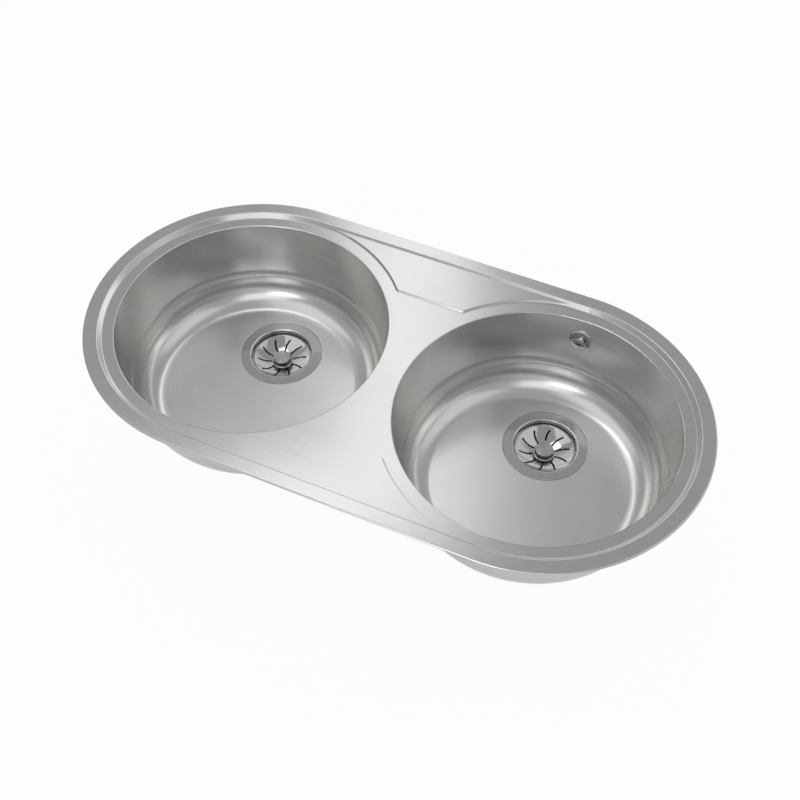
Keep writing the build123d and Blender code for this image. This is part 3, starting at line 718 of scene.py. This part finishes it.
def hoseLength():
    start, corner, end = hose["start"], hose["corner"], hose["end"]
    straights = (corner - start).length + (end - corner).length - 2 * hose["bend"]
    return straights + hose["bend"] * math.pi / 2


def hoseStations():
    # outside from end to end with its ribs, then back along the bore
    length = hoseLength()
    ribs = int((length - 2 * hose["cuffLength"]) / hose["pitch"])
    first = (length - ribs * hose["pitch"]) / 2
    stations = [(0.0, hose["cuff"]), (first - hose["cuffGap"], hose["cuff"])]
    for step in range(ribs * hose["stations"] + 1):
        wave = 0.5 - 0.5 * math.cos(2 * math.pi * step / hose["stations"])
        radius = hose["valley"] + (hose["crest"] - hose["valley"]) * wave**hose["fullness"]
        stations.append((first + step * hose["pitch"] / hose["stations"], radius))
    stations += [(length - first + hose["cuffGap"], hose["cuff"]), (length, hose["cuff"])]
    count = hose["boreSteps"]
    bore = [(length * step / count, hose["bore"]) for step in range(count, -1, -1)]
    return stations + bore


def buildHose(mesh):
    across = Vector((1.0, 0.0, 0.0))
    rings = []
    for run, radius in hoseStations():
        spot, ahead = hoseSpot(run)
        other = ahead.cross(across)
        ring = []
        for index in range(hose["segments"]):
            angle = 2 * math.pi * index / hose["segments"]
            edge = across * math.cos(angle) + other * math.sin(angle)
            ring.append(mesh.verts.new((spot + edge * radius) * mm))
        rings.append(ring)
    for index, ring in enumerate(rings):
        following = rings[(index + 1) % len(rings)]
        for step in range(hose["segments"]):
            ahead = (step + 1) % hose["segments"]
            mesh.faces.new((ring[step], ring[ahead], following[ahead], following[step]))


dress(finishPiece("ribbedHose", buildHose), "overflow_hose", "hose_plastic")
print("hose ready")


# ---- clip screws

clips = {
    "order": ("front_left", "front_right", "left_end_back", "right_end_front",
              "back_left", "back_right", "left_end_front", "right_end_back"),
    "seatDrop": 1.7,  # from a clip's middle down to its screw's head
    "length": 27.2, "radius": 2.0, "tipChamfer": 0.5, "axisHole": 0.02, "segments": 18, "arcSteps": 2,
    "head": 4.0, "headHeight": 2.0, "headTaper": 0.94, "headEdge": 0.3, "headSegments": 36, "rimSteps": 16,
    "slot": 1.0, "slotDepth": 1.0, "overlap": 0.01,
}
screwThread = {
    "radius": clips["radius"], "top": 27.4, "foot": 1.0, "pitch": 0.7, "depth": 0.36,
    "half": 0.5, "flat": 0.85, "stepsPerTurn": 6,
}
screwSeed = 7


def clipSpots():
    # heads' seats on the axes that the clips swing about; the order sets each screw's turn
    joints = frame["record"]["behaviour"]["joints"]
    pivots = {joint["name"]: joint["pos_m"] for joint in joints if joint["type"] == "hinge"}
    drop = Vector((0.0, 0.0, clips["seatDrop"] * mm))
    return [Vector(pivots["clip_" + name + "_swing"]) - drop for name in clips["order"]]


def addHeadHalf(mesh, turn):
    # the part of the head on one side of the driver's slot
    c = clips
    arc = math.asin(c["slot"] / 2 / c["head"])
    rim = [arc + (math.pi - 2 * arc) * step / c["rimSteps"] + turn for step in range(c["rimSteps"] + 1)]
    top = c["slotDepth"] - c["headHeight"] + c["overlap"]
    taper = c["head"] * c["headTaper"]
    low, high = [], []
    for layer, radius, height in ((low, taper, -c["headHeight"]), (high, c["head"], top)):
        for angle in rim:
            spot = Vector((radius * math.cos(angle), radius * math.sin(angle), height))
            layer.append(mesh.verts.new(spot * mm))
    mesh.faces.new(low)
    mesh.faces.new(list(reversed(high)))
    for step in range(len(rim)):
        ahead = (step + 1) % len(rim)
        mesh.faces.new((low[step], low[ahead], high[ahead], high[step]))


def buildScrew(mesh):
    # threaded shank up from the head's plate, and the slotted head below it
    c = clips
    shank = [
        (c["axisHole"], 0.0, 0.0),
        (c["radius"], 0.0, 0.0),
        (c["radius"], c["length"] - c["tipChamfer"], 0.0),
        (c["radius"] - c["tipChamfer"], c["length"], 0.0),
        (c["axisHole"], c["length"], 0.0),
    ]
    spacing = screwThread["pitch"] / screwThread["stepsPerTurn"]
    outline = splitRun(roundedLoop(shank, c["arcSteps"]), c["length"], 0.0, spacing)
    addTurned(mesh, outline, Matrix.Identity(4), c["segments"], screwThread)
    seat = c["slotDepth"] - c["headHeight"]
    plate = [
        (c["axisHole"], 0.0, 0.0),
        (c["axisHole"], seat, 0.0),
        (c["head"], seat, 0.0),
        (c["head"], 0.0, c["headEdge"]),
    ]
    addTurned(mesh, roundedLoop(plate, c["arcSteps"]), Matrix.Identity(4), c["headSegments"])
    for turn in (0.0, math.pi):
        addHeadHalf(mesh, turn)


randomMax, randomValue = 3, 1  # the random node's sockets for plain numbers


def scatter(name, model, spots, material, seed):
    # the model at each spot, turned by a seeded angle, through geometry nodes made into a plain mesh
    data = bpy.data.meshes.new(name)
    data.from_pydata(spots, [], [])
    holder = bpy.data.objects.new(name + "Places", data)
    bpy.context.scene.collection.objects.link(holder)
    tree = bpy.data.node_groups.new(name, "GeometryNodeTree")
    tree.interface.new_socket("Geometry", in_out="INPUT", socket_type="NodeSocketGeometry")
    tree.interface.new_socket("Geometry", in_out="OUTPUT", socket_type="NodeSocketGeometry")
    given = tree.nodes.new("NodeGroupInput")
    result = tree.nodes.new("NodeGroupOutput")
    source = addNode(tree, "GeometryNodeObjectInfo")
    source.inputs["Object"].default_value = model
    spin = addNode(tree, "FunctionNodeRandomValue", data_type="FLOAT")
    spin.inputs["Seed"].default_value = seed
    spin.inputs[randomMax].default_value = 2 * math.pi
    angles = addNode(tree, "ShaderNodeCombineXYZ")
    copies = addNode(tree, "GeometryNodeInstanceOnPoints")
    real = addNode(tree, "GeometryNodeRealizeInstances")
    paint = addNode(tree, "GeometryNodeSetMaterial", Material=material)
    link(tree, given.outputs[0], copies.inputs["Points"])
    link(tree, source.outputs["Geometry"], copies.inputs["Instance"])
    link(tree, spin.outputs[randomValue], angles.inputs["Z"])
    link(tree, angles.outputs[0], copies.inputs["Rotation"])
    link(tree, copies.outputs[0], real.inputs[0])
    link(tree, real.outputs[0], paint.inputs["Geometry"])
    link(tree, paint.outputs[0], result.inputs[0])
    modifier = holder.modifiers.new(name, "NODES")
    modifier.node_group = tree
    seen = holder.evaluated_get(bpy.context.evaluated_depsgraph_get())
    plain = bpy.data.meshes.new_from_object(seen)
    for old in (holder, model):
        bpy.data.objects.remove(old)
    piece = bpy.data.objects.new(name, plain)
    bpy.context.scene.collection.objects.link(piece)
    return piece


screwSteel = finishFor("zinc_plate", "clip_screws")
screws = scatter("threadedScrews", finishPiece("oneScrew", buildScrew), clipSpots(), screwSteel, screwSeed)
dress(screws, "clip_screws", "zinc_plate")
print("clip screws ready")
